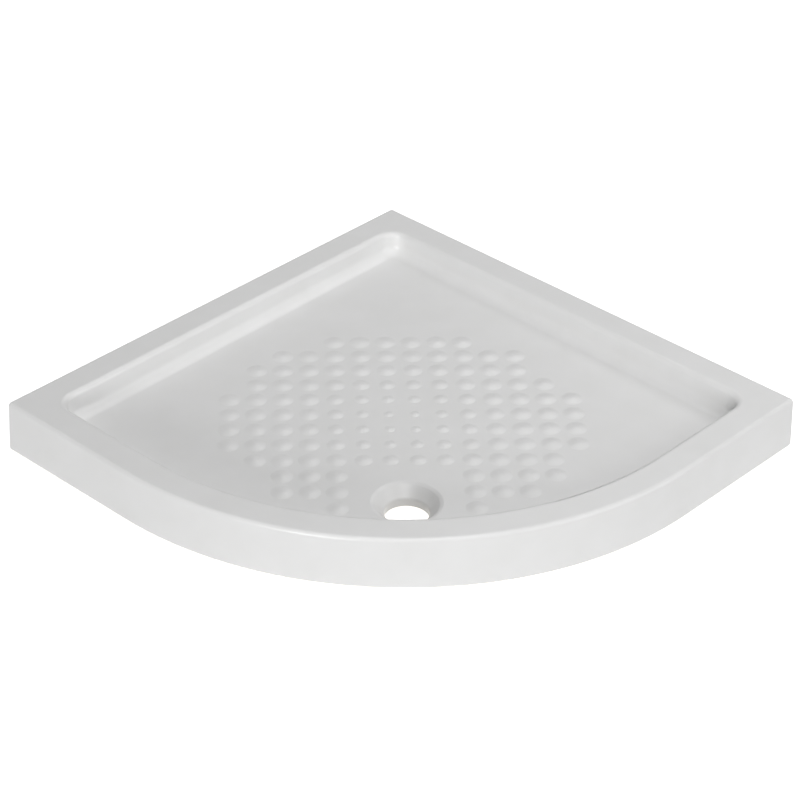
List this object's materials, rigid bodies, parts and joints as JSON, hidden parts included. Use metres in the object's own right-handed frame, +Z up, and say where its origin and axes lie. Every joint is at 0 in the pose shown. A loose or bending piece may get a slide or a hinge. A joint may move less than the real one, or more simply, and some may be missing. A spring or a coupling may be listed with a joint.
{
  "type": "shower tray",
  "caption": "Quadrant shower tray of white glazed fireclay with a flat rim, a shallow studded bowl and a dished waste hole, on low screw feet behind the skirt.",
  "frame": {"origin": "middle of the tray's square plan, on the floor that the skirt stands on", "axes": "+Z up; the two straight wall sides face -X and +Y, and the swept front faces +X and -Y"},
  "size_m": [0.7998, 0.7998, 0.081],
  "materials": {
    "glazed_fireclay": "gloss glaze",
    "pad_rubber": "matt",
    "socket_plastic": "moulded, satin",
    "plated_steel": "bright zinc plate",
    "foot_plastic": "moulded, satin",
    "sole_rubber": "matt"
  },
  "bodies": {
    "tray": {"tray_body": "glazed_fireclay", "back_foot_pad": "pad_rubber", "back_foot_socket": "socket_plastic", "back_foot_lock_nut": "plated_steel", "left_foot_pad": "pad_rubber", "left_foot_socket": "socket_plastic", "left_foot_lock_nut": "plated_steel", "right_foot_pad": "pad_rubber", "right_foot_socket": "socket_plastic", "right_foot_lock_nut": "plated_steel", "front_left_foot_pad": "pad_rubber", "front_left_foot_socket": "socket_plastic", "front_left_foot_lock_nut": "plated_steel", "front_right_foot_pad": "pad_rubber", "front_right_foot_socket": "socket_plastic", "front_right_foot_lock_nut": "plated_steel"},
    "back_foot": {"back_foot_base": "foot_plastic", "back_foot_sole": "sole_rubber"},
    "back_foot_screw": {"back_foot_spindle": "plated_steel"},
    "left_foot": {"left_foot_base": "foot_plastic", "left_foot_sole": "sole_rubber"},
    "left_foot_screw": {"left_foot_spindle": "plated_steel"},
    "right_foot": {"right_foot_base": "foot_plastic", "right_foot_sole": "sole_rubber"},
    "right_foot_screw": {"right_foot_spindle": "plated_steel"},
    "front_left_foot": {"front_left_foot_base": "foot_plastic", "front_left_foot_sole": "sole_rubber"},
    "front_left_foot_screw": {"front_left_foot_spindle": "plated_steel"},
    "front_right_foot": {"front_right_foot_base": "foot_plastic", "front_right_foot_sole": "sole_rubber"},
    "front_right_foot_screw": {"front_right_foot_spindle": "plated_steel"}
  },
  "joints": [
    {"name": "back_foot_height", "type": "slide", "parent": "tray", "child": "back_foot", "axis": [0, 0, -1], "range_m": [0, 0.01]},
    {"name": "back_foot_turn", "type": "hinge", "parent": "back_foot", "child": "back_foot_screw", "pos_m": [-0.28, 0.28, 0.015], "axis": [0, 0, -1], "range_deg": [0, 2400]},
    {"name": "left_foot_height", "type": "slide", "parent": "tray", "child": "left_foot", "axis": [0, 0, -1], "range_m": [0, 0.01]},
    {"name": "left_foot_turn", "type": "hinge", "parent": "left_foot", "child": "left_foot_screw", "pos_m": [-0.28, -0.28, 0.015], "axis": [0, 0, -1], "range_deg": [0, 2400]},
    {"name": "right_foot_height", "type": "slide", "parent": "tray", "child": "right_foot", "axis": [0, 0, -1], "range_m": [0, 0.01]},
    {"name": "right_foot_turn", "type": "hinge", "parent": "right_foot", "child": "right_foot_screw", "pos_m": [0.28, 0.28, 0.015], "axis": [0, 0, -1], "range_deg": [0, 2400]},
    {"name": "front_left_foot_height", "type": "slide", "parent": "tray", "child": "front_left_foot", "axis": [0, 0, -1], "range_m": [0, 0.01]},
    {"name": "front_left_foot_turn", "type": "hinge", "parent": "front_left_foot", "child": "front_left_foot_screw", "pos_m": [-0.00293, -0.25407, 0.015], "axis": [0, 0, -1], "range_deg": [0, 2400]},
    {"name": "front_right_foot_height", "type": "slide", "parent": "tray", "child": "front_right_foot", "axis": [0, 0, -1], "range_m": [0, 0.01]},
    {"name": "front_right_foot_turn", "type": "hinge", "parent": "front_right_foot", "child": "front_right_foot_screw", "pos_m": [0.25407, 0.00293, 0.015], "axis": [0, 0, -1], "range_deg": [0, 2400]}
  ],
  "couplings": [
    {"joint": "back_foot_height", "follows": "back_foot_turn", "m_per_rad": 0.00023873},
    {"joint": "left_foot_height", "follows": "left_foot_turn", "m_per_rad": 0.00023873},
    {"joint": "right_foot_height", "follows": "right_foot_turn", "m_per_rad": 0.00023873},
    {"joint": "front_left_foot_height", "follows": "front_left_foot_turn", "m_per_rad": 0.00023873},
    {"joint": "front_right_foot_height", "follows": "front_right_foot_turn", "m_per_rad": 0.00023873}
  ]
}
